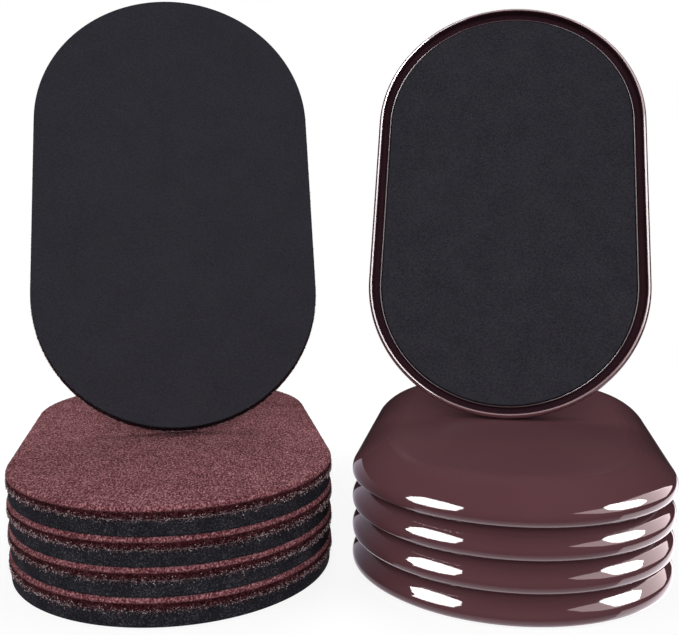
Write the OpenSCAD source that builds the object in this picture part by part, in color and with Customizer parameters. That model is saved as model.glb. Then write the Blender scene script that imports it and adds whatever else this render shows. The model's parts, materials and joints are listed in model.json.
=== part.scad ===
// Set of furniture sliders on display: felt sliders for hard floors on the left,
// moulded carpet sliders on the right. Each kind is a stack with its working face
// up and one more slider standing on its round end on top, showing its grip face.
// Millimetres, +Z up, front towards -Y, origin on the floor midway between the stacks.

/* [Outline of every slider] */
// Width across the straight sides
slider_w = 146; // [120:1:180]
// Length over the two round ends
slider_l = 241; // [200:1:300]

/* [Felt slider] */
// Thickness of the felt sole
felt_t = 5.2; // [3:0.1:8]
// Soft rounding of the felt's sliding edge
felt_edge_r = 1.8; // [0.5:0.1:2.5]
// Small rounding of the felt's edge at the bond line
felt_tuck_r = 0.7; // [0.2:0.1:1.2]
// Thickness of the laminating film
bond_t = 0.3; // [0.1:0.1:1]
// Thickness of the foam grip
foam_t = 6.7; // [4:0.1:12]
// How far the foam's side lies inside the felt's
foam_inset = 0.7; // [0:0.1:2]
// Rounding of the foam's grip edge
foam_edge_r = 0.6; // [0.2:0.1:1.5]

/* [Carpet slider] */
// Height of the shell from lip to sole
shell_h = 15.9; // [12:0.1:22]
// Radius of the crown that leads the sole up to its rim
crown_r = 26; // [22:1:40]
// Radius of the rolled rim outside the crown
rim_r = 5.5; // [4:0.1:6.5]
// Height of the upright side between the rim and the lip's rounding
side_h = 0.6; // [0.2:0.1:2]
// Thickness of the shell over the pad
sole_t = 3; // [2:0.1:4]
// Width of the lip
lip_w = 2.4; // [2.2:0.1:3.2]
// Rounding of the lip's outer edge
lip_edge_r = 1.8; // [1:0.1:2]
// Width of the channel between lip and locating rib
channel_w = 3.3; // [1.5:0.1:4]
// Depth of the channel below the lip
channel_d = 5; // [3:0.1:5.5]
// Thickness of the rib that locates the pad
rib_t = 0.9; // [0.6:0.1:1.5]
// How far the rib stops short of the pad's face
rib_drop = 0.4; // [0.2:0.1:2]
// Gap between rib and pad
pad_gap = 0.3; // [0.1:0.1:1]
// How far the pad's face lies below the lip
pad_recess = 2.6; // [1:0.1:3.5]
// Rounding of the pad's edge
pad_edge_r = 0.6; // [0.2:0.1:1.5]
// Thickness of the adhesive film under the pad
film_t = 0.3; // [0.1:0.1:1]
// How far the adhesive film stays inside the flat of the tray
film_inset = 1; // [0.2:0.1:4]

/* [Display] */
// Sliders in each stack, below the standing one
stacked = 4; // [1:1:6]
// Turn of each stack towards the viewer, in degrees
toe_in = 10; // [0:1:20]
// Clear width between the two stacks
aisle = 10; // [4:1:60]
// Lean of the standing felt slider, in degrees
felt_lean = 22; // [0:1:35]
// Lean of the standing carpet slider, in degrees
carpet_lean = 25; // [0:1:35]
// Where the standing sliders touch, along their stack
stand_y = -8; // [-30:1:10]
// How far the standing sliders lie towards the middle
stand_shift = 3; // [0:1:10]
// Clearance between a slider and the one that it rests on
rest_gap = 0.1; // [0.05:0.05:1]

/* [Hidden] */
$fn = 96;
overshoot = 0.2;
end_r = slider_w / 2;
straight = slider_l - slider_w;

// Heights in a felt slider, from its grip face
bond_z = foam_t;
felt_z = bond_z + bond_t;
felt_h = felt_z + felt_t;
felt_pitch = felt_h + rest_gap;

// Radii and heights in a carpet slider, from its lip
lip_in_r = lip_w - lip_edge_r;
channel_r = end_r - lip_w - channel_w / 2;
rib_r = channel_r - channel_w / 2 - rib_t;
pad_r = rib_r - pad_gap;
rib_z = pad_recess + rib_drop;
floor_z = shell_h - sole_t;
film_z = floor_z - film_t;
pad_t = film_z - pad_recess;

// Middles of the crown's arc and the rim's arc, which run into each other at crown_turn
// from the sole's normal
rim_z = lip_edge_r + side_h;
crown_z = shell_h - crown_r;
crown_turn = acos((rim_z - crown_z) / (crown_r - rim_r));
rim_x = end_r - rim_r;
crown_x = rim_x - (crown_r - rim_r) * sin(crown_turn);

// A stacked carpet slider rests on its pad: the crown keeps its lip clear of the sole below
carpet_pitch = shell_h - pad_recess + rest_gap;

// Heights of the stacks and the distance of each from the middle
felt_top = (stacked - 1) * felt_pitch + felt_h;
carpet_top = (stacked - 1) * carpet_pitch + shell_h;
stack_x = straight / 2 * sin(toe_in) + end_r + aisle / 2;

standing = stacked + 1;
PIECES = ["felt_sole", "bond_film", "foam_grip", "plastic_shell", "pad_film", "foam_pad"];

// Sweeps a half profile, radius by height, round the straight sides and the round ends
module sweep_outline() {
    for (turn = [0, 180])
        rotate(turn)
            translate([0, straight / 2, 0])
                rotate_extrude(angle = 180)
                    children();
    rotate([90, 0, 0])
        linear_extrude(straight, center = true) {
            children();
            mirror([1, 0])
                children();
        }
}

// Waste outside a rounded corner whose sharp point is at x, y and points along dx, dy
module corner_waste(x, y, r, dx, dy) {
    translate([x - dx * r, y - dy * r])
        difference() {
            mirror([dx < 0 ? 1 : 0, 0])
                mirror([0, dy < 0 ? 1 : 0])
                    square(r + overshoot);
            circle(r);
        }
}

// Waste outside an arc between two directions, seen from the arc's middle at x, y
module arc_waste(x, y, r, start, end) {
    reach = 3 * r;
    translate([x, y])
        difference() {
            polygon([[0, 0], reach * [cos(start), sin(start)], reach * [cos(end), sin(end)]]);
            circle(r);
        }
}

// Waste outside the crown, or outside a surface that lies deep below it
module crown_waste(deep) {
    arc_waste(crown_x, crown_z, crown_r - deep, 90 - crown_turn, 90);
}

// Half profile of a sheet with its outer edges rounded
module sheet_profile(r, t, top_r, bottom_r) {
    difference() {
        square([r, t]);
        if (top_r > 0)
            corner_waste(r, t, top_r, 1, 1);
        if (bottom_r > 0)
            corner_waste(r, 0, bottom_r, 1, -1);
    }
}

// Half profile of the moulded shell: crown, rolled rim, lip, channel, rib and dished pocket
module shell_profile() {
    difference() {
        sheet_profile(end_r, shell_h, 0, lip_edge_r);
        crown_waste(0);
        arc_waste(rim_x, rim_z, rim_r, 0, 90 - crown_turn);
        difference() {
            translate([0, -overshoot])
                square([rib_r, floor_z + overshoot]);
            crown_waste(sole_t);
        }
        translate([rib_r - overshoot, -overshoot])
            square([rib_t + 2 * overshoot, rib_z + overshoot]);
        translate([channel_r - channel_w / 2, -overshoot])
            square([channel_w, channel_d - channel_w / 2 + overshoot]);
        translate([channel_r, channel_d - channel_w / 2])
            circle(channel_w / 2);
        corner_waste(end_r - lip_w, 0, lip_in_r, -1, -1);
        corner_waste(rib_r, rib_z, rib_t / 2, -1, -1);
        corner_waste(rib_r + rib_t, rib_z, rib_t / 2, 1, -1);
    }
}

// Half profile of the tray's pad, whose back follows the dished pocket
module pad_profile() {
    difference() {
        translate([0, pad_recess])
            square([pad_r, pad_t]);
        crown_waste(sole_t + film_t);
        corner_waste(pad_r, pad_recess, pad_edge_r, 1, -1);
    }
}

// Felt pad that slides on a hard floor
module felt_sole() {
    color("#7A464F")
        translate([0, 0, felt_z])
            sweep_outline()
                sheet_profile(end_r, felt_t, felt_edge_r, felt_tuck_r);
}

// Film that laminates the felt to the foam
module bond_film() {
    color("#B9A0A4")
        translate([0, 0, bond_z])
            sweep_outline()
                sheet_profile(end_r - foam_inset, bond_t, 0, 0);
}

// Foam pad whose smooth face takes the furniture leg
module foam_grip() {
    color("#2B2A2F")
        sweep_outline()
            sheet_profile(end_r - foam_inset, foam_t, 0, foam_edge_r);
}

// Glossy moulded tray that slides on carpet
module plastic_shell() {
    color("#5C393E")
        sweep_outline()
            shell_profile();
}

// Adhesive film between the tray and its pad
module pad_film() {
    color("#D8D2C4")
        translate([0, 0, film_z])
            sweep_outline()
                sheet_profile(crown_x - film_inset, film_t, 0, 0);
}

// Grained foam pad in the tray, which takes the furniture leg
module foam_pad() {
    color("#2D2C31")
        sweep_outline()
            pad_profile();
}

// Puts a slider in the stack at the left (side -1) or the right (side 1)
module in_stack(side, z) {
    translate([side * stack_x, 0, z])
        rotate(-side * toe_in)
            children();
}

// Stands a slider on its round end, leaning back, with its grip face to the front.
// The end rolls on an edge of radius edge_r, whose middle is edge_z from the grip side.
module on_end(side, edge_z, edge_r, lean) {
    foot_y = edge_z * cos(lean) - (slider_l / 2 - edge_r) * sin(lean);
    foot_z = edge_z * sin(lean) + (slider_l / 2 - edge_r) * cos(lean) + edge_r;
    translate([-side * stand_shift, stand_y - foot_y, foot_z + rest_gap])
        rotate([-(90 + lean), 0, 0])
            children();
}

// Places felt slider k: counted up the stack, the last one standing
module felt_slider(k) {
    if (k < standing)
        in_stack(-1, (k - 1) * felt_pitch)
            children();
    else
        in_stack(-1, felt_top)
            on_end(-1, felt_h - felt_edge_r, felt_edge_r, felt_lean)
                children();
}

// Places carpet slider k in the same way
module carpet_slider(k) {
    if (k < standing)
        in_stack(1, (k - 1) * carpet_pitch)
            children();
    else
        in_stack(1, carpet_top)
            on_end(1, rim_z, rim_r, carpet_lean)
                children();
}

for (k = [1 : standing]) {
    felt_slider(k) felt_sole();
    felt_slider(k) bond_film();
    felt_slider(k) foam_grip();
    carpet_slider(k) plastic_shell();
    carpet_slider(k) pad_film();
    carpet_slider(k) foam_pad();
}
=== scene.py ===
# %% [markdown]
# # A display of ten furniture sliders
# A furniture slider goes under the foot of a wardrobe or sofa so that it can be pushed. The five at the left
# slide on felt, for hard floors. The five at the right slide on a glossy plastic sole, for carpet. Each kind
# is shown as a stack of four, working face up, with a fifth slider standing on the stack to show its grip.
#
# The solids of all the pieces are loaded as a fixed frame. This script gives them their looks: it models
# each visible piece once, as a mesh in the slider's own axes, and sets a copy where the frame holds it.

# %% Load the frame
import json
import math

import bpy
import numpy as np
from mathutils import Matrix, Vector, noise
from mathutils.bvhtree import BVHTree
from mathutils.interpolate import poly_3d_calc

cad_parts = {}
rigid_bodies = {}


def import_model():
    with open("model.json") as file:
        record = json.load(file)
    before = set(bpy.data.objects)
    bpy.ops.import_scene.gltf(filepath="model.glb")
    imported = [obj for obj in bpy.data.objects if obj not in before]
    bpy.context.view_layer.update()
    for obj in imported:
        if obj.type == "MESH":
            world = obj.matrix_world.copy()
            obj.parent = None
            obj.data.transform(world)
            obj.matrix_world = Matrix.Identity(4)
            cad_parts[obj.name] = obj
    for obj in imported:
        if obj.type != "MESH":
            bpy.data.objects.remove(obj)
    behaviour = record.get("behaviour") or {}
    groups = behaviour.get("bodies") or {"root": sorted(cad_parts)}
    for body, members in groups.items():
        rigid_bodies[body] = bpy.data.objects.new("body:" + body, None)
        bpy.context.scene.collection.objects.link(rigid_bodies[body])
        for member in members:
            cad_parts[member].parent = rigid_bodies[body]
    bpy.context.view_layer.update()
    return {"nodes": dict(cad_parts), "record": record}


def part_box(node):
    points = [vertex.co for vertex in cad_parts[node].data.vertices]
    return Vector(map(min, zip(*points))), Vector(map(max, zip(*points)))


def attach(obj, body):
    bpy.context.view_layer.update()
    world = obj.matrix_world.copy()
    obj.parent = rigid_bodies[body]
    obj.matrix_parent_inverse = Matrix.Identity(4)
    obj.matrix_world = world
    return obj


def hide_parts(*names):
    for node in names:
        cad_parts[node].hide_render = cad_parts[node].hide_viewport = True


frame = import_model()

MM = 0.001

# %% [markdown]
# ## Where the sliders are
# Every slider has the same axes: X across it, Y along it, Z from its grip side to its sole. The record's
# mounts on the two standing sliders say where their grip faces look, which gives the lean and the turn
# of each stack. The stacked ones lie level, with the same turn, on the height that their solids start at.

# %% Places of the sliders
STANDING = 5
sliders = range(1, STANDING + 1)
KINDS = {"felt": ("felt_slider_leg_seat", "foam_grip"), "carpet": ("carpet_slider_leg_seat", "plastic_shell")}
pad_recess = 2.6 * MM
seat_depth = {"felt": 0, "carpet": pad_recess}
mounts = {mount["name"]: mount for mount in frame["record"]["mounts"]}
places = {}
for kind, (seat, lowest_piece) in KINDS.items():
    outward = Vector(mounts[seat]["axis"]).normalized()
    across = Vector((-outward.y, outward.x, 0)).normalized()
    turn = math.atan2(across.y, across.x)
    for k in range(1, STANDING):
        low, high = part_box(f"{lowest_piece}_{k}")
        foot = Vector(((low.x + high.x) / 2, (low.y + high.y) / 2, low.z))
        places[kind, k] = Matrix.Translation(foot) @ Matrix.Rotation(turn, 4, "Z")
    axes = Matrix((across, (-outward).cross(across), -outward)).transposed().to_4x4()
    origin = Vector(mounts[seat]["pos_m"]) + outward * seat_depth[kind]
    places[kind, STANDING] = Matrix.Translation(origin) @ axes
    lean = math.degrees(math.asin(outward.z))
    print(kind, "turned", round(math.degrees(turn), 2), "leaning", round(lean, 2), "degrees")

# %% [markdown]
# ## One outline for every piece
# All the pieces share the slider's outline: two straight sides and two round ends. So a piece is a profile,
# radius by height, that is swept round this outline, as a moulder would turn it on a lathe and then stretch
# the round part along the slider. `outline` gives the foot of each station on the long axis and the
# direction outwards from it, so that a radius can be laid off anywhere round the slider.

# %% The outline
slider_w = 146 * MM
slider_l = 241 * MM
end_r = slider_w / 2
straight = slider_l - slider_w
perimeter = 2 * straight + 2 * math.pi * end_r
middle_r = 0.5 * MM


def outline(run):
    """Feet on the long axis and outward directions at these distances round the outline."""
    run = np.asarray(run) % perimeter
    half, arc = straight / 2, math.pi * end_r
    first_end = run < straight + arc
    turned = np.where(first_end, run - straight, run - 2 * straight) / end_r
    on_right = run < straight
    on_left = (run >= straight + arc) & (run < 2 * straight + arc)
    angle = np.where(on_right, 0, np.where(on_left, math.pi, turned))
    end_foot = np.where(first_end, half, -half)
    foot = np.where(on_right, run - half, np.where(on_left, half - (run - straight - arc), end_foot))
    feet = np.stack([np.zeros_like(run), foot], -1)
    return feet, np.stack([np.cos(angle), np.sin(angle)], -1)


print("outline", round(perimeter / MM, 1), "mm round")

# %% [markdown]
# ## Sweeping a profile
# A curve with a bevel could sweep a section too, but it gives neither a material to each stretch of the
# section nor a map in real lengths. So the mesh is written out: one ring of points for each point of the
# profile, and four-sided faces between neighbouring rings. Where a surface is rough, a noise lifts its points
# along the direction that the profile faces.

# %% Meshes and the sweep


def arc_points(middle, radius, start, end, count):
    """Points of a profile's arc, in degrees from the radius axis towards the height axis."""
    angles = np.radians(np.linspace(start, end, count))
    return [(middle[0] + radius * math.cos(a), middle[1] + radius * math.sin(a)) for a in angles]


def new_mesh(name, points, faces, zones=None, uv=None):
    """A mesh with smooth faces. Zones give each face's material, and uv holds a pair for each point."""
    mesh = bpy.data.meshes.new(name)
    mesh.from_pydata([tuple(p) for p in points], [], faces)
    mesh.polygons.foreach_set("use_smooth", [len(face) < 5 for face in faces])
    if zones is not None:
        mesh.polygons.foreach_set("material_index", zones)
    if uv is not None:
        corners = np.zeros(len(mesh.loops), np.int32)
        mesh.loops.foreach_get("vertex_index", corners)
        mesh.uv_layers.new(name="sweep").uv.foreach_set("vector", np.asarray(uv, np.float32)[corners].ravel())
    mesh.update()
    return mesh


def sweep(name, profile, step, zones=None, relief=0, grain=1 * MM, seed=0):
    """Sweeps a profile, from its middle below to its middle above, round the outline.

    Zones give a material for each stretch of the profile. Relief is how far a noise of that grain lifts
    the surface. The map runs round the outline and then along the profile, both in metres."""
    profile = np.array(profile)
    count = round(perimeter / step)
    run = np.arange(count) * perimeter / count
    feet, out = outline(run)
    points = np.empty((len(profile), count, 3))
    points[:, :, :2] = feet + out * profile[:, None, :1]
    points[:, :, 2] = profile[:, None, 1]
    if relief:
        along = np.gradient(profile, axis=0)
        facing = np.stack([along[:, 1], -along[:, 0]], -1)
        facing /= np.linalg.norm(facing, axis=1, keepdims=True)
        shift = Vector((seed, seed, seed))
        lift = [noise.noise(Vector(p) / grain + shift) for p in points.reshape(-1, 3)]
        lift = relief * np.array(lift).reshape(len(profile), count, 1)
        points[:, :, :2] += lift * out * facing[:, None, :1]
        points[:, :, 2:] += lift * facing[:, None, 1:]
    ring = np.arange(count)
    following = (ring + 1) % count
    faces, face_zones = [], []
    for j in range(len(profile) - 1):
        a, b = j * count, (j + 1) * count
        faces += np.stack([a + ring, a + following, b + following, b + ring], -1).tolist()
        face_zones += [zones[j] if zones else 0] * count
    faces += [ring[::-1].tolist(), (ring + (len(profile) - 1) * count).tolist()]
    face_zones += [zones[0], zones[-1]] if zones else [0, 0]
    length = np.concatenate([[0], np.cumsum(np.linalg.norm(np.diff(profile, axis=0), axis=1))])
    uv = np.stack(np.broadcast_arrays(run[None, :], length[:, None]), -1).reshape(-1, 2)
    return new_mesh(name, points.reshape(-1, 3), faces, face_zones, uv)


print("a sweep in steps of 1 mm has", round(perimeter / MM), "stations")

# %% [markdown]
# ## Setting a piece in its place
# A mesh is modelled in the slider's own axes and then moved to the slider's place, while its object stays
# at the origin, as those of the solids do. The piece rides on its slider and stands for a plain solid there.
# How far it differs from that solid's box is printed: only the loose fibres should go far beyond it.

# %% Placing


def place(name, mesh, kind, k, materials, replaced):
    """Sets a mesh where slider k of a kind is, to ride on that slider in place of its plain solid."""
    mesh.transform(places[kind, k])
    for made in materials:
        mesh.materials.append(made)
    piece = bpy.data.objects.new(name, mesh)
    bpy.context.scene.collection.objects.link(piece)
    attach(piece, f"{kind}_slider_{k}")
    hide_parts(replaced)
    low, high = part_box(replaced)
    corners = np.array([v.co for v in mesh.vertices])
    off = max(np.abs(corners.min(0) - low).max(), np.abs(corners.max(0) - high).max())
    print(name, "faces", len(mesh.polygons), "off its solid's box by", round(off / MM, 2), "mm")
    return piece


print("places for", len(places), "sliders")

# %% [markdown]
# ## Writing materials
# Blender mixes colours as amounts of light, while colours are usually noted as sRGB hex. `linear` converts
# them once. `add` makes one shader node with its settings, plain values and links, which is all that is
# needed to write any material as a short list.

# %% Material helpers


def linear(code):
    """An sRGB hex colour as linear RGBA."""
    shares = [int(code[i:i + 2], 16) / 255 for i in (1, 3, 5)]
    return [s / 12.92 if s <= 0.04045 else ((s + 0.055) / 1.055) ** 2.4 for s in shares] + [1]


def add(tree, kind, inputs=None, stops=(), **settings):
    """One shader node. An input is a value or another node's output.

    Stops are those of a colour ramp: its two ends first, then the ones between."""
    node = tree.nodes.new("ShaderNode" + kind)
    for name, value in settings.items():
        setattr(node, name, value)
    for socket, value in (inputs or {}).items():
        if isinstance(value, bpy.types.NodeSocket):
            tree.links.new(value, node.inputs[socket])
        else:
            node.inputs[socket].default_value = value
    for i, (position, colour) in enumerate(stops):
        ends = node.color_ramp.elements
        stop = ends[i] if i < 2 else ends.new(position)
        stop.position = position
        stop.color = linear(colour)
    return node


def new_material(name):
    """An empty material and its node tree."""
    made = bpy.data.materials.new(name)
    made.use_nodes = True
    made.node_tree.nodes.clear()
    return made, made.node_tree


print("maroon in linear light", [round(c, 3) for c in linear("#714A50")])

# %% [markdown]
# ## Needle-punched felt
# The felt is a pad of polyester fibres that barbed needles have tangled together. It has no weave: the eye
# sees fine light and dark specks of fibre, soft cloudy patches where the pad is thicker, and a faint bloom
# of light at low angles, because loose fibres stand up from it. Below the rounded edge, the cutting die has
# squeezed a groove. Along the edge the colour is darker from the bond line up through the groove, which is
# painted shade there, and full on the rounded edge above. These bands follow the map's second number, the
# distance along the profile. The noise is turned, because it fades on faces that lie along its own grid.
# Real fibres are a few hundredths of a millimetre thick, too fine to show, so the specks are drawn 0.7 mm
# wide.

# %% Felt material
felt_t = 5.2 * MM
felt_edge_r = 1.8 * MM
felt_fibre = 0.7 * MM
felt_lie = 0.5
felt_turn = (0.6, 0.4, 0)
felt_cloud = 9 * MM
felt_cloud_share = 0.1
felt_ragged = 1.0 * MM
felt_side_run = end_r - middle_r
felt_side = felt_t - felt_edge_r


def felt_material():
    made, tree = new_material("needle-punched polyester felt")
    where = add(tree, "TexCoord")
    along = add(tree, "Mapping", {"Vector": where.outputs["Object"], "Rotation": felt_turn,
                                  "Scale": (1, felt_lie, 1)})
    fibres = add(tree, "TexNoise", {"Vector": along.outputs["Vector"], "Scale": 1 / felt_fibre, "Detail": 3,
                                    "Roughness": 0.65})
    clouds = add(tree, "TexNoise", {"Vector": where.outputs["Object"], "Scale": 1 / felt_cloud, "Detail": 2})
    both = add(tree, "Math", {0: clouds.outputs["Fac"], 1: felt_cloud_share, 2: fibres.outputs["Fac"]},
               operation="MULTIPLY_ADD")
    tone = add(tree, "ValToRGB", {"Fac": both.outputs[0]},
               stops=[(0.37, "#311418"), (0.75, "#C79297"), (0.53, "#67383E")])
    apart = add(tree, "SeparateXYZ", {"Vector": where.outputs["UV"]})
    ragged = add(tree, "Math", {0: fibres.outputs["Fac"], 1: felt_ragged, 2: apart.outputs["Y"]},
                 operation="MULTIPLY_ADD")
    up_side = add(tree, "MapRange", {"Value": ragged.outputs[0], "From Min": felt_side_run,
                                     "From Max": felt_side_run + 2 * felt_side})
    # Painted shade: the edge is darker from the bond line up through the groove, and full on the rounded
    # edge.
    shade = add(tree, "ValToRGB", {"Fac": up_side.outputs["Result"]},
                stops=[(0.0, "#6A5A60"), (1.0, "#FFFFFF"), (0.2, "#6A565C"), (0.46, "#80666A"),
                       (0.58, "#C8B8BA"), (0.68, "#F4ECEC")])
    colour = add(tree, "Mix", {0: 1.0, 6: tone.outputs["Color"], 7: shade.outputs["Color"]},
                 data_type="RGBA", blend_type="MULTIPLY")
    bump = add(tree, "Bump", {"Height": fibres.outputs["Fac"], "Strength": 0.8, "Distance": 0.6 * MM})
    shader = add(tree, "BsdfPrincipled", {"Base Color": colour.outputs[2], "Roughness": 0.95,
                                          "Specular IOR Level": 0.02, "Sheen Weight": 0.08,
                                          "Sheen Roughness": 0.5, "Sheen Tint": linear("#CDA4A8"),
                                          "Normal": bump.outputs["Normal"]})
    add(tree, "OutputMaterial", {"Surface": shader.outputs["BSDF"]})
    return made


felt = felt_material()
print("made", felt.name)

# %% [markdown]
# ## Fibres and film at the bond line
# A hot-melt film joins the felt to its foam. Where the die cuts through, pale broken fibres stick out of the
# bond line in a rough white fringe, the brightest thing at the edge of a felt slider. A noise can't stand
# out from the surface, so the fringe is real: short thin strands, each a three-sided tube that bows away
# from the edge. They are drawn several times as thick as the fibres, so that they show. The map's first
# number holds one random share a strand, which gives its tint.

# %% Fringe materials
film_streak = 3 * MM


def fringe_material():
    made, tree = new_material("broken polyester fibres")
    where = add(tree, "TexCoord")
    apart = add(tree, "SeparateXYZ", {"Vector": where.outputs["UV"]})
    tint = add(tree, "ValToRGB", {"Fac": apart.outputs["X"]},
               stops=[(0.0, "#3A1E22"), (1.0, "#FFF4F5"), (0.45, "#6E4A4F"), (0.8, "#C9ABAF")])
    shader = add(tree, "BsdfPrincipled", {"Base Color": tint.outputs["Color"], "Roughness": 0.7,
                                          "Specular IOR Level": 0.3})
    add(tree, "OutputMaterial", {"Surface": shader.outputs["BSDF"]})
    return made


def film_material(name, colour):
    """A thin glue film: milky, with small streaks from the roller that laid it."""
    made, tree = new_material(name)
    where = add(tree, "TexCoord")
    streaks = add(tree, "TexNoise", {"Vector": where.outputs["Object"], "Scale": 1 / film_streak,
                                     "Detail": 3})
    tone = add(tree, "ValToRGB", {"Fac": streaks.outputs["Fac"]}, stops=[(0.3, colour), (0.8, "#E4DCD6")])
    shader = add(tree, "BsdfPrincipled", {"Base Color": tone.outputs["Color"], "Roughness": 0.5})
    add(tree, "OutputMaterial", {"Surface": shader.outputs["BSDF"]})
    return made


fringe = fringe_material()
bond = film_material("hot-melt film", "#A88A8E")
glue = film_material("acrylic glue film", "#D2CBBE")
print("made", fringe.name, bond.name, glue.name)

# %% [markdown]
# ## Black foam
# Both grips are closed-cell EVA foam. Its moulded skin is dead flat and matt, with a soft mottle. The cut
# side shows opened cells as tiny light specks. The carpet slider's pad has a skin with a fine pressed
# grain. Foam scatters light so widely that the gloss of its polymer hardly shows, so specular is low. Real
# cells are a fraction of a millimetre wide, and are drawn up to a millimetre wide, so that they show.

# %% Foam materials
mottle_share = 0.2


def foam_material(name, stops, cell, depth, mottle):
    made, tree = new_material(name)
    where = add(tree, "TexCoord")
    cells = add(tree, "TexNoise", {"Vector": where.outputs["Object"], "Scale": 1 / cell, "Detail": 3,
                                   "Roughness": 0.6})
    clouds = add(tree, "TexNoise", {"Vector": where.outputs["Object"], "Scale": 1 / mottle, "Detail": 2})
    both = add(tree, "Math", {0: clouds.outputs["Fac"], 1: mottle_share, 2: cells.outputs["Fac"]},
               operation="MULTIPLY_ADD")
    tone = add(tree, "ValToRGB", {"Fac": both.outputs[0]}, stops=stops)
    bump = add(tree, "Bump", {"Height": cells.outputs["Fac"], "Strength": 0.6, "Distance": depth})
    shader = add(tree, "BsdfPrincipled", {"Base Color": tone.outputs["Color"], "Roughness": 0.75,
                                          "Specular IOR Level": 0.02, "Normal": bump.outputs["Normal"]})
    add(tree, "OutputMaterial", {"Surface": shader.outputs["BSDF"]})
    return made


skin_tones = [(0.4, "#28272D"), (0.8, "#343339")]
cut_tones = [(0.42, "#17161A"), (0.86, "#626066"), (0.64, "#25242A")]
grain_tones = [(0.4, "#232228"), (0.8, "#37363C")]
foam_skin = foam_material("EVA foam, smooth skin", skin_tones, 0.8 * MM, 0.05 * MM, 18 * MM)
foam_cut = foam_material("EVA foam, cut side", cut_tones, 0.6 * MM, 0.5 * MM, 10 * MM)
foam_grain = foam_material("EVA foam, grained skin", grain_tones, 0.9 * MM, 0.15 * MM, 14 * MM)
print("made", foam_skin.name, foam_cut.name, foam_grain.name)

# %% [markdown]
# ## The moulded shell
# The tray's section is one line: the dished pocket, the thin rib that locates the pad, the round-bottomed
# channel, the lip, the rolled rim, the crown and the flat sole. Bevels on a box would not give these curves,
# and a gloss shows every flat spot, so the section is drawn with arcs that run into each other.

# %% Section of the shell
shell_h = 15.9 * MM
crown_r = 26 * MM
rim_r = 5.5 * MM
side_h = 0.6 * MM
sole_t = 3 * MM
lip_w = 2.4 * MM
lip_edge_r = 1.8 * MM
lip_in_r = lip_w - lip_edge_r
channel_w = 3.3 * MM
channel_d = 5 * MM
rib_t = 0.9 * MM
rib_drop = 0.4 * MM
pad_gap = 0.3 * MM
channel_r = end_r - lip_w - channel_w / 2
rib_r = channel_r - channel_w / 2 - rib_t
pad_r = rib_r - pad_gap
rim_z = lip_edge_r + side_h
crown_z = shell_h - crown_r
crown_turn = math.acos((rim_z - crown_z) / (crown_r - rim_r))
rim_x = end_r - rim_r
crown_x = rim_x - (crown_r - rim_r) * math.sin(crown_turn)
OUTSIDE, RIB, CHANNEL = 0, 1, 2
sole_points = 3


def crown_points(deep, outer_r, count):
    """Points of the crown, or of a surface deep below it, from the sole's flat out to a radius."""
    radius = crown_r - deep
    end = math.degrees(math.acos((outer_r - crown_x) / radius))
    return arc_points((crown_x, crown_z), radius, 90, end, count)


def shell_profile():
    pocket = [(middle_r, shell_h - sole_t)] + crown_points(sole_t, rib_r, 12)
    rib_z = pad_recess + rib_drop + rib_t / 2
    rib = arc_points((rib_r + rib_t / 2, rib_z), rib_t / 2, 180, 360, 9)
    channel = arc_points((channel_r, channel_d - channel_w / 2), channel_w / 2, 180, 0, 13)
    lip_middle = end_r - lip_edge_r
    inner_lip = 6
    lip = arc_points((lip_middle, lip_in_r), lip_in_r, 180, 270, inner_lip)
    lip += arc_points((lip_middle, lip_edge_r), lip_edge_r, 270, 360, 11)[1:]
    rim = arc_points((rim_x, rim_z), rim_r, 0, 90 - math.degrees(crown_turn), 13)
    crown = crown_points(0, crown_x + crown_r * math.sin(crown_turn), 25)[-2::-1]
    sole = [(crown_x - 1 * MM, shell_h), (crown_x / 2, shell_h), (middle_r, shell_h)]
    tray = [RIB] * (len(pocket) + len(rib) - 1) + [CHANNEL] * (len(channel) + inner_lip)
    outside = [OUTSIDE] * (len(lip) - inner_lip + len(rim) + len(crown) + len(sole))
    return pocket + rib + channel + lip + rim + crown + sole, tray + outside


shell_section, shell_zones = shell_profile()
section_run = np.cumsum(np.linalg.norm(np.diff(shell_section, axis=0), axis=1))
sole_run = section_run[-1 - sole_points]
print("section", round(section_run[-1] / MM, 1), "mm long, flat sole", round(2 * crown_x / MM, 1), "mm wide")

# %% [markdown]
# ## Moulded gloss plastic
# The tray is injection-moulded polypropylene in one deep maroon. The mould was polished best at the lip and
# the rim, which mirror crisp lamps, and the polish fades up the crown to the satin of the flat sole. That is
# a ramp along the map's second number, the distance along the section. The rib and the channel look darker
# in the photograph than their shade explains, so their colour is darkened with painted shade for their recess
# under the lip, and the channel is left without polish. A faint waviness of a few millimetres comes from the
# part shrinking as it cooled.

# %% Plastic finishes
shrink_wave = 9 * MM
dye_cloud = 40 * MM
polish_fade = 17 * MM
satin_roughness = 0.4
satin_gloss = 0.12


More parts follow.
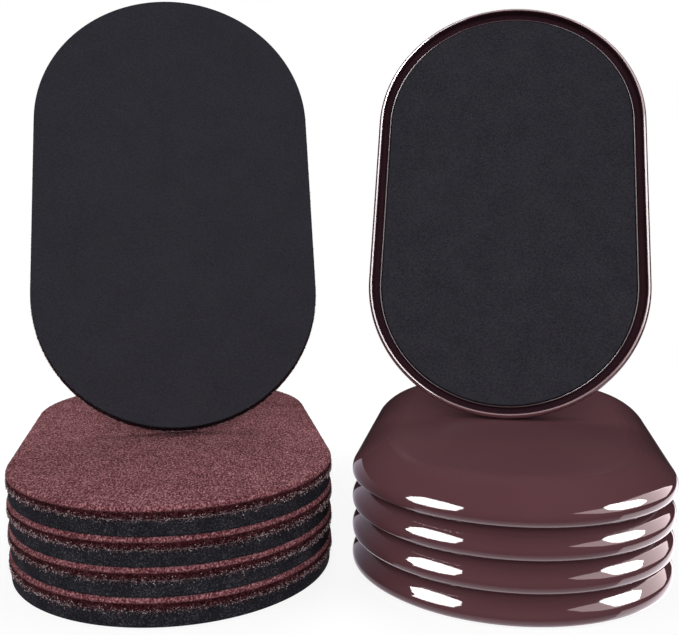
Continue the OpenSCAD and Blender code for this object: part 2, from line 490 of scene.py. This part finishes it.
def plastic_material(finish, dark, light, roughness, gloss, fades=False):
    made, tree = new_material("moulded polypropylene, " + finish)
    where = add(tree, "TexCoord")
    waves = add(tree, "TexNoise", {"Vector": where.outputs["Object"], "Scale": 1 / shrink_wave, "Detail": 1})
    clouds = add(tree, "TexNoise", {"Vector": where.outputs["Object"], "Scale": 1 / dye_cloud, "Detail": 2})
    tone = add(tree, "ValToRGB", {"Fac": clouds.outputs["Fac"]}, stops=[(0.3, dark), (0.7, light)])
    bump = add(tree, "Bump", {"Height": waves.outputs["Fac"], "Strength": 0.1, "Distance": 0.04 * MM})
    if fades:
        apart = add(tree, "SeparateXYZ", {"Vector": where.outputs["UV"]})
        reach = {"Value": apart.outputs["Y"], "From Min": sole_run - polish_fade, "From Max": sole_run}
        duller = add(tree, "MapRange", reach | {"To Min": roughness, "To Max": satin_roughness})
        dimmer = add(tree, "MapRange", reach | {"To Min": gloss, "To Max": satin_gloss})
        roughness = duller.outputs["Result"]
        gloss = dimmer.outputs["Result"]
    shader = add(tree, "BsdfPrincipled", {"Base Color": tone.outputs["Color"], "IOR": 1.49,
                                          "Roughness": roughness, "Specular IOR Level": gloss,
                                          "Normal": bump.outputs["Normal"]})
    add(tree, "OutputMaterial", {"Surface": shader.outputs["BSDF"]})
    return made


# The dark colours of the rib and of the channel are painted shade for their recess under the lip.
plastics = [plastic_material("polished", "#5B3A3F", "#5E3D42", 0.04, 0.5, fades=True),
            plastic_material("polished rib with painted shade", "#2A181E", "#301C22", 0.08, 0.15),
            plastic_material("unpolished with painted shade", "#2E1C22", "#341F26", 0.7, 0)]
print("made", [made.name for made in plastics])

# %% [markdown]
# ## The felt sole
# The sole could be a plain slab, but its edge is what shows on a stack: a soft bulge above, the squeezed
# groove, and a frayed band at the bond line. The side of the profile is a formula: full width less a dip at
# the groove's height. A small noise lifts the whole surface, so that the felt is rough against the light.

# %% Felt soles
foam_t = 6.7 * MM
bond_t = 0.3 * MM
foam_inset = 0.7 * MM
felt_z = foam_t + bond_t
felt_top = felt_z + felt_t
groove_z = felt_z + 2.5 * MM
groove_depth = 1.0 * MM
groove_reach = 0.7 * MM
felt_step = 1.0 * MM
side_step = 0.3 * MM
top_step = 1.2 * MM
felt_relief = 0.22 * MM
felt_grain = 0.9 * MM


def felt_profile():
    side = np.arange(felt_z + side_step, felt_top - felt_edge_r, side_step)
    dip = groove_depth * np.exp(-(((side - groove_z) / groove_reach) ** 2))
    edge = arc_points((end_r - felt_edge_r, felt_top - felt_edge_r), felt_edge_r, 0, 90, 7)
    top = np.arange(end_r - felt_edge_r - top_step, middle_r, -top_step)
    below = [(middle_r, felt_z), (end_r - foam_inset, felt_z)]
    return below + list(zip(end_r - dip, side)) + edge + [(r, felt_top) for r in top]


for k in sliders:
    mesh = sweep(f"felt_pad_{k}", felt_profile(), felt_step, relief=felt_relief, grain=felt_grain, seed=k)
    piece = place(f"felt_pad_{k}", mesh, "felt", k, [felt], f"felt_sole_{k}")

# %% [markdown]
# ## The bond line and its fringe
# The film itself is a thin sheet as wide as the foam. The strands start anywhere round it, run mostly along
# the edge, and bow outwards. Their places come from a generator with a fixed seed for each slider, so the
# script gives the same fringe each time.

# %% Bond line
strands = 5400
strand_points = 3
strand_sides = 3
strand_thick = 0.28 * MM
strand_lengths = (0.3 * MM, 0.9 * MM)
strand_bows = (0.05 * MM, 0.35 * MM)
strand_rise = 1.0
strand_curl = 0.25 * MM
strand_tip = 0.25
fringe_spread = 0.75 * MM
fringe_z = felt_z + 0.3 * MM
fringe_r = end_r - 0.05 * MM
film_tuck = 0.4 * MM
film_step = 2 * MM


def fringe_parts(seed):
    """Points, faces and map of all the strands of one slider."""
    draw = np.random.default_rng(seed)
    start = draw.uniform(0, perimeter, (strands, 1))
    length = draw.uniform(*strand_lengths, (strands, 1))
    slope = draw.normal(0, strand_rise, (strands, 1))
    height = fringe_z + draw.normal(0, fringe_spread, (strands, 1))
    bow = draw.uniform(*strand_bows, (strands, 1))
    curl = draw.normal(0, strand_curl, (strands, 1))
    tint = draw.uniform(0, 1, (strands, 1))
    share = np.linspace(0, 1, strand_points)
    feet, out = outline(start + length * np.cos(slope) * share)
    lean = np.sin(math.pi * share)
    rise = height + length * np.sin(slope) * (share - 0.5) + curl * lean
    turn = 2 * math.pi * np.arange(strand_sides) / strand_sides
    thick = strand_thick / 2 * (strand_tip + (1 - strand_tip) * lean)[:, None]
    radius = fringe_r + (bow * lean)[..., None] + thick * np.cos(turn)
    points = np.empty((strands, strand_points, strand_sides, 3))
    points[..., :2] = feet[:, :, None] + out[:, :, None] * radius[..., None]
    points[..., 2] = rise[..., None] + thick * np.sin(turn)
    index = np.arange(strands * strand_points * strand_sides).reshape(strands, strand_points, strand_sides)
    ahead = np.roll(index, -1, axis=2)
    quads = np.stack([index[:, :-1], ahead[:, :-1], ahead[:, 1:], index[:, 1:]], -1).reshape(-1, 4)
    ends = np.concatenate([index[:, 0, ::-1], index[:, -1]])
    tint = np.broadcast_to(tint[:, :, None], index.shape)
    uv = np.stack([tint, np.broadcast_to(share[:, None], index.shape)], -1)
    return points.reshape(-1, 3), quads.tolist() + ends.tolist(), uv.reshape(-1, 2)


def bond_mesh(name, seed):
    """The film's sheet and its fringe in one mesh."""
    film_r = end_r - foam_inset - film_tuck
    profile = [(middle_r, foam_t), (film_r, foam_t), (film_r, felt_z), (middle_r, felt_z)]
    sheet = sweep(name + "_sheet", profile, film_step)
    points = [tuple(v.co) for v in sheet.vertices]
    faces = [list(face.vertices) for face in sheet.polygons]
    flat = np.zeros((len(points), 2))
    strand_at, strand_faces, strand_uv = fringe_parts(seed)
    zones = [0] * len(faces) + [1] * len(strand_faces)
    faces += [[len(points) + i for i in face] for face in strand_faces]
    bpy.data.meshes.remove(sheet)
    return new_mesh(name, points + strand_at.tolist(), faces, zones, np.concatenate([flat, strand_uv]))


for k in sliders:
    mesh = bond_mesh(f"bond_line_{k}", seed=k)
    place(f"bond_line_{k}", mesh, "felt", k, [bond, fringe], f"bond_film_{k}")

# %% [markdown]
# ## The foam grip
# A flat pad with a barely broken edge. Its grip face is skin and its side is cut, so the faces of the sweep
# take one of two materials by where they lie on the profile.

# %% Foam grips
foam_edge_r = 0.6 * MM
back_edge = 0.05 * MM
foam_step = 1.6 * MM
foam_crease = math.radians(40)
SKIN, CUT = 0, 1


def grip_profile():
    grip_r = end_r - foam_inset
    face = [(middle_r, 0), (grip_r - 4 * foam_edge_r, 0), (grip_r - 1.2 * foam_edge_r, 0)]
    edge = arc_points((grip_r - foam_edge_r, foam_edge_r), foam_edge_r, -90, 0, 5)
    side = [(grip_r, z) for z in np.linspace(1.5 * foam_edge_r, foam_t - back_edge, 8)]
    back = [(grip_r - back_edge, foam_t), (middle_r, foam_t)]
    zones = [SKIN] * (len(face) + 1) + [CUT] * (len(edge) + len(side) - 1) + [SKIN] * len(back)
    return face + edge + side + back, zones


grip_section, grip_zones = grip_profile()
for k in sliders:
    mesh = sweep(f"grip_pad_{k}", grip_section, foam_step, grip_zones)
    mesh.set_sharp_from_angle(angle=foam_crease)
    piece = place(f"grip_pad_{k}", mesh, "felt", k, [foam_skin, foam_cut], f"foam_grip_{k}")

# %% [markdown]
# ## Turning out the shells
# The section is swept once for each slider, in steps so fine that a lamp mirrored in the rim has a clean
# edge. Its corners are true arcs, so shading may run smoothly over all of it but the sharp corners at the
# foot of the rib.

# %% Plastic shells
shell_step = 0.8 * MM
shell_crease = math.radians(50)
for k in sliders:
    mesh = sweep(f"shell_{k}", shell_section, shell_step, shell_zones)
    mesh.set_sharp_from_angle(angle=shell_crease)
    place(f"shell_{k}", mesh, "carpet", k, plastics, f"plastic_shell_{k}")

# %% [markdown]
# ## The foam pad in the tray
# The pad stands a little below the lip. Its edge is rounded where the die pulled the skin down.

# %% Foam pads
film_t = 0.3 * MM
pad_edge_r = 0.6 * MM
pad_back = shell_h - sole_t - film_t


def pad_profile():
    face = [(r, pad_recess) for r in (middle_r, pad_r - 5 * pad_edge_r, pad_r - 1.3 * pad_edge_r)]
    edge = arc_points((pad_r - pad_edge_r, pad_recess + pad_edge_r), pad_edge_r, -90, 0, 7)
    return face + edge + crown_points(sole_t + film_t, pad_r, 12)[::-1] + [(middle_r, pad_back)]


for k in sliders:
    mesh = sweep(f"tray_pad_{k}", pad_profile(), foam_step)
    mesh.set_sharp_from_angle(angle=foam_crease)
    piece = place(f"tray_pad_{k}", mesh, "carpet", k, [foam_grain], f"foam_pad_{k}")
    shown = frame["nodes"][f"pad_film_{k}"]
    shown.data.materials.clear()
    shown.data.materials.append(glue)

# %% [markdown]
# ## Camera
# The photograph looks a little down from just above the middle, from so near that the stacks widen
# clearly towards the front. The lens follows from a focal length in pixels of the picture.

# %% Camera
image_w, image_h = 679, 635
focal_px = 897
sensor = 36
eye = Vector((-1.1, -450, 165.2)) * MM
down = math.radians(7.41)
camera = bpy.data.objects.new("camera", bpy.data.cameras.new("camera"))
camera.data.sensor_width = sensor
camera.data.lens = focal_px * sensor / image_w
camera.data.clip_start = 10 * MM
camera.location = eye
camera.rotation_euler = (math.pi / 2 - down, 0, 0)
bpy.context.scene.collection.objects.link(camera)
bpy.context.scene.camera = camera
print("lens", round(camera.data.lens, 1), "mm")

# %% [markdown]
# ## Studio
# The sliders stand on white paper in a white room, which gives soft light from everywhere. The floor's own
# colour is grey: what the camera sees as white is added for its rays alone, so that the contact shadow
# stays and the paper fades into the white room.

# %% World
room_light = 0.3


def background_rays(tree):
    """One for the rays that see the white background, and nought for those that light the sliders."""
    rays = add(tree, "LightPath")
    seen = rays.outputs["Is Camera Ray"]
    for other in ("Is Glossy Ray", "Is Transmission Ray"):
        either = add(tree, "Math", {0: seen, 1: rays.outputs[other]}, operation="ADD", use_clamp=True)
        seen = either.outputs[0]
    return seen


world = bpy.data.worlds.new("white room")
bpy.context.scene.world = world
world.use_nodes = True
tree = world.node_tree
tree.nodes.clear()
level = add(tree, "MapRange", {"Value": background_rays(tree), "To Min": room_light, "To Max": 1.0})
sky = add(tree, "Background", {"Color": (1, 1, 1, 1), "Strength": level.outputs["Result"]})
add(tree, "OutputWorld", {"Surface": sky.outputs["Background"]})
print(world.name, "gives", room_light, "of white")

# %% Paper floor
floor_r = 1.6
floor_grey = 0.2
floor_white = 0.84
floor_near, floor_far = 0.25, 0.6
floor_drop = 0.2 * MM
floor_sides = 96
paper, tree = new_material("white paper")
where = add(tree, "TexCoord")
away = add(tree, "VectorMath", {0: where.outputs["Object"]}, operation="LENGTH")
near = add(tree, "MapRange", {"Value": away.outputs["Value"], "From Min": floor_near, "From Max": floor_far,
                              "To Min": 1.0, "To Max": 0.0}, interpolation_type="SMOOTHSTEP")
grey = add(tree, "Math", {0: near.outputs["Result"], 1: floor_grey}, operation="MULTIPLY")
glow = add(tree, "MapRange", {"Value": near.outputs["Result"], "To Min": 1.0, "To Max": floor_white})
glow = add(tree, "Math", {0: glow.outputs["Result"], 1: background_rays(tree)}, operation="MULTIPLY")
matt = add(tree, "BsdfDiffuse", {"Color": grey.outputs[0]})
white = add(tree, "Emission", {"Color": (1, 1, 1, 1), "Strength": glow.outputs[0]})
both = add(tree, "AddShader", {0: matt.outputs[0], 1: white.outputs[0]})
add(tree, "OutputMaterial", {"Surface": both.outputs[0]})

angles = 2 * math.pi * np.arange(floor_sides) / floor_sides
ring = [(floor_r * math.cos(a), floor_r * math.sin(a), -floor_drop) for a in angles]
floor_mesh = new_mesh("floor", ring, [list(range(floor_sides))])
floor_mesh.materials.append(paper)
floor = bpy.data.objects.new("floor", floor_mesh)
bpy.context.scene.collection.objects.link(floor)
print("floor", 2 * floor_r, "m across")

# %% [markdown]
# ## What the gloss mirrors
# A glossy piece looks like what stands round it. Photographers put it in a dark tent and add bright cards
# one by one, each for one streak. The tent here is a ball: black velvet above, and below the horizon white
# paper that grows brighter straight down, which lights the lip from below. Tent and cards are visible to
# mirrored rays alone, so they neither shade the matt pieces nor show themselves.

# %% Tent
tent_r = 2.0
velvet = 0.01
paper_white = 3.3
paper_from = -8
paper_full = -50
tent_rises = (-89.9, 89.9)
tent_facets = 48


def show_to_gloss_only(stand):
    """Links a piece of the stage that only mirrored rays meet."""
    bpy.context.scene.collection.objects.link(stand)
    for ray in ("camera", "diffuse", "transmission", "volume_scatter", "shadow"):
        setattr(stand, "visible_" + ray, False)


def dome(name, middle, reach, turns, rises, count, axes=np.eye(3)):
    """A patch of a ball between two turns from the front and two rises from level, in degrees.

    The rows of axes are the directions of the right, the back and the top that these are counted from."""
    turn, rise = np.meshgrid(np.radians(np.linspace(*turns, count)), np.radians(np.linspace(*rises, count)))
    points = np.stack([np.sin(turn) * np.cos(rise), -np.cos(turn) * np.cos(rise), np.sin(rise)], -1) @ axes
    index = np.arange(count * count).reshape(count, count)
    faces = np.stack([index[:-1, :-1], index[:-1, 1:], index[1:, 1:], index[1:, :-1]], -1).reshape(-1, 4)
    return new_mesh(name, (points * reach + np.array(middle)).reshape(-1, 3), faces.tolist())


cloth, tree = new_material("velvet and paper")
where = add(tree, "TexCoord")
apart = add(tree, "SeparateXYZ", {"Vector": where.outputs["Object"]})
paper_starts, paper_ends = [tent_r * math.sin(math.radians(rise)) for rise in (paper_from, paper_full)]
level = add(tree, "MapRange", {"Value": apart.outputs["Z"], "From Min": paper_starts, "From Max": paper_ends,
                               "To Min": velvet, "To Max": paper_white})
light = add(tree, "Emission", {"Color": linear("#F6EEF4"), "Strength": level.outputs["Result"]})
add(tree, "OutputMaterial", {"Surface": light.outputs["Emission"]})
tent = bpy.data.objects.new("tent", dome("tent", (0, 0, 0), tent_r, (-180, 180), tent_rises, tent_facets))
tent.data.materials.append(cloth)
show_to_gloss_only(tent)
floor.visible_glossy = False
print("tent", 2 * tent_r, "m across")

# %% [markdown]
# ## Where the streaks' cards stand
# A mirrored card is easiest to place backwards. The outline of each streak is noted in pixels of the
# picture, on the top slider of the stack. From the eye, a ray goes through each of its points to the shell
# and is mirrored there, and a corner of the card lies a little over a metre along it. The shell's faces are
# small but flat, so the mirror's direction is mixed from the smooth directions at the face's corners.

# %% Corners of the cards
left_streak = [(406, 498), (410, 496.5), (423, 497), (444, 502), (463.5, 507.5), (463, 509), (456, 511),
               (441, 509), (427, 506), (414, 502.5)]
right_streak = [(603.5, 507.5), (610, 504.5), (638, 499.5), (647, 500), (639.5, 506), (621, 510),
                (605.5, 509)]
rosy_streak = [(570, 514), (585, 511.5), (605, 508), (621, 502), (643, 494.5), (658.5, 490), (672, 485.5),
               (666, 496.5), (641, 506), (619, 511.5), (602, 513.5)]
card_reach = 1.2
rosy_reach = 1.3
mirror = bpy.data.objects[f"shell_{STANDING - 1}"].data
mirror_faces = [list(face.vertices) for face in mirror.polygons]
mirror_tree = BVHTree.FromPolygons([v.co for v in mirror.vertices], mirror_faces)


def card_corner(pixel, reach):
    """The point that the top shell mirrors into this pixel, so far from the shell."""
    aim = Vector((pixel[0] - image_w / 2, image_h / 2 - pixel[1], -focal_px)).normalized()
    aim.rotate(camera.rotation_euler)
    hit, _, face, _ = mirror_tree.ray_cast(eye, aim)
    corners = [mirror.vertices[i] for i in mirror_faces[face]]
    weights = poly_3d_calc([corner.co for corner in corners], hit)
    facing = sum((corner.normal * weight for corner, weight in zip(corners, weights)), Vector())
    return hit + aim.reflect(facing.normalized()) * reach


left_corners = [card_corner(pixel, card_reach) for pixel in left_streak]
right_corners = [card_corner(pixel, card_reach) for pixel in right_streak]
rosy_corners = [card_corner(pixel, rosy_reach) for pixel in rosy_streak]
print("left card's first corner", [round(c, 2) for c in left_corners[0]])

# %% [markdown]
# ## Cards for the streaks
# The left card gives the crisp white streak at the left. At the right, a large rosy card holds a brighter
# one. A card in the aisle, dark in front and pale at the back, keeps the felt stack out of the left ends,
# and a low paper card does the same for the right ends. The standing tray has cards of its own: a ring of
# patches round the direction that its face mirrors, whose angles count from the viewer's right over the top.
# Each patch draws the thin line on the part of the lip and the rib that faces it. All the cards but the one
# in the aisle let the rays that aren't meant for them pass through.

# %% Cards
aisle_front, aisle_back, aisle_top = -90 * MM, -30 * MM, 52 * MM
aisle_fade = (-80 * MM, -35 * MM)
aisle_outline = [(aisle_front, 0), (aisle_back, 0), (aisle_back, aisle_top), (aisle_front, aisle_top)]
aisle_corners = [(0, y, z) for y, z in aisle_outline]
paper_reach = 1.5
paper_turns = (65, 140)
paper_rises = (-40, -5)
card_facets = 12
WHITE, PINKISH, ROSY = "#FFFFFF", "#FFF0F2", "#FFE8EA"
LILAC, PAPER = "#E0D5E8", "#F6E8EE"


def gloss_card(mesh, strength, colour, mirrored_by, fade=None):
    """A card that glows so many times as bright as white paper, for the pieces that may mirror it.

    A fade is the pair of Y between which the glow comes up from nothing, on a card that nothing shows
    through."""
    made, tree = new_material(mesh.name)
    level = strength
    if fade:
        where = add(tree, "TexCoord")
        apart = add(tree, "SeparateXYZ", {"Vector": where.outputs["Object"]})
        level = add(tree, "MapRange", {"Value": apart.outputs["Y"], "From Min": fade[0], "From Max": fade[1],
                                       "To Min": 0, "To Max": strength}).outputs["Result"]
    sheet = add(tree, "Emission", {"Color": linear(colour), "Strength": level})
    if not fade:
        clear = add(tree, "BsdfTransparent")
        sheet = add(tree, "AddShader", {0: sheet.outputs[0], 1: clear.outputs[0]})
    add(tree, "OutputMaterial", {"Surface": sheet.outputs[0]})
    mesh.materials.append(made)
    card = bpy.data.objects.new(mesh.name, mesh)
    show_to_gloss_only(card)
    lit = bpy.data.collections.new(mesh.name)
    for piece in mirrored_by:
        lit.objects.link(piece)
    card.light_linking.receiver_collection = lit
    print(mesh.name, "at", strength, "times white")


def flat_card(name, corners):
    """The mesh of a card with these corners."""
    return new_mesh(name, corners, [list(range(len(corners)))])


stacked = [bpy.data.objects[f"shell_{k}"] for k in range(1, STANDING)]
standing_tray = bpy.data.objects[f"shell_{STANDING}"]
gloss_card(flat_card("left card", left_corners), 26, WHITE, stacked)
gloss_card(flat_card("right card", right_corners), 24, WHITE, stacked)
gloss_card(flat_card("rosy card", rosy_corners), 5.2, ROSY, stacked)
gloss_card(flat_card("aisle card", aisle_corners), 1.1, LILAC, stacked, aisle_fade)
paper_patch = dome("right paper card", (0, 0, 0), paper_reach, paper_turns, paper_rises, card_facets)
gloss_card(paper_patch, 3, PAPER, stacked)

# %% Ring of cards for the standing tray
# Start and end round the ring, lowest rise towards its middle, strength and colour
rim_cards = [(120, 150, 48, 90, WHITE), (150, 245, 36, 22, WHITE), (245, 320, 20, 5, ROSY),
             (320, 340, 20, 9, PINKISH), (340, 380, 24, 20, WHITE), (380, 430, 20, 9, PINKISH),
             (430, 465, 20, 5, PINKISH), (465, 480, 40, 16, WHITE)]
rim_card_top = 84
rim_card_reach = 1.0
ring_start = 90
tray_axes = np.array(places["carpet", STANDING].to_3x3().transposed())
tray_middle = places["carpet", STANDING].translation
to_eye = (eye - tray_middle).normalized()
mirrored = (-to_eye).reflect(Vector(-tray_axes[2]))
ring_axes = np.array([tray_axes[0], np.cross(mirrored, tray_axes[0]), mirrored])
for start, end, lowest, strength, colour in rim_cards:
    turns, rises = (start + ring_start, end + ring_start), (lowest, rim_card_top)
    patch = dome(f"rim card {start}", tray_middle, rim_card_reach, turns, rises, card_facets, ring_axes)
    gloss_card(patch, strength, colour, [standing_tray])

# %% [markdown]
# ## Light for the matt pieces
# Felt, foam and the colour of the plastic show how much light reaches them. Four soft lamps, hidden from
# mirrored rays, are set for that alone: the one in front stands low, so that it also lights the gaps under
# the lips. A lamp's share is how bright it makes white paper that faces it, and with the room they come to
# about one on the faces that show.

# %% Softboxes
lamp_reach = 1.4
lamp_size = 0.8
subject = Vector((0, -20 * MM, 90 * MM))


def softbox(name, towards, share):
    direction = Vector(towards).normalized()
    made = bpy.data.objects.new(name, bpy.data.lights.new(name, "AREA"))
    made.data.size = lamp_size
    made.data.energy = math.pi ** 2 * share * lamp_reach ** 2
    made.location = subject + direction * lamp_reach
    made.rotation_euler = direction.to_track_quat("Z", "Y").to_euler()
    made.visible_camera = False
    made.visible_glossy = False
    bpy.context.scene.collection.objects.link(made)
    print(name, round(made.data.energy, 2), "W")


softbox("left softbox", (-0.7, -0.2, 0.69), 0.23)
softbox("right softbox", (0.8, -0.15, 0.58), 0.25)
softbox("front softbox", (-0.05, -0.94, 0.33), 0.59)
softbox("back softbox", (0, 0.7, 0.71), 0.46)

# %% [markdown]
# ## The view transform
# The render shows colours plainly, with the Standard view transform. The dressed part has to stay in the
# box of the solids, apart from a little fuzz.

# %% View transform
bpy.context.scene.view_settings.view_transform = "Standard"
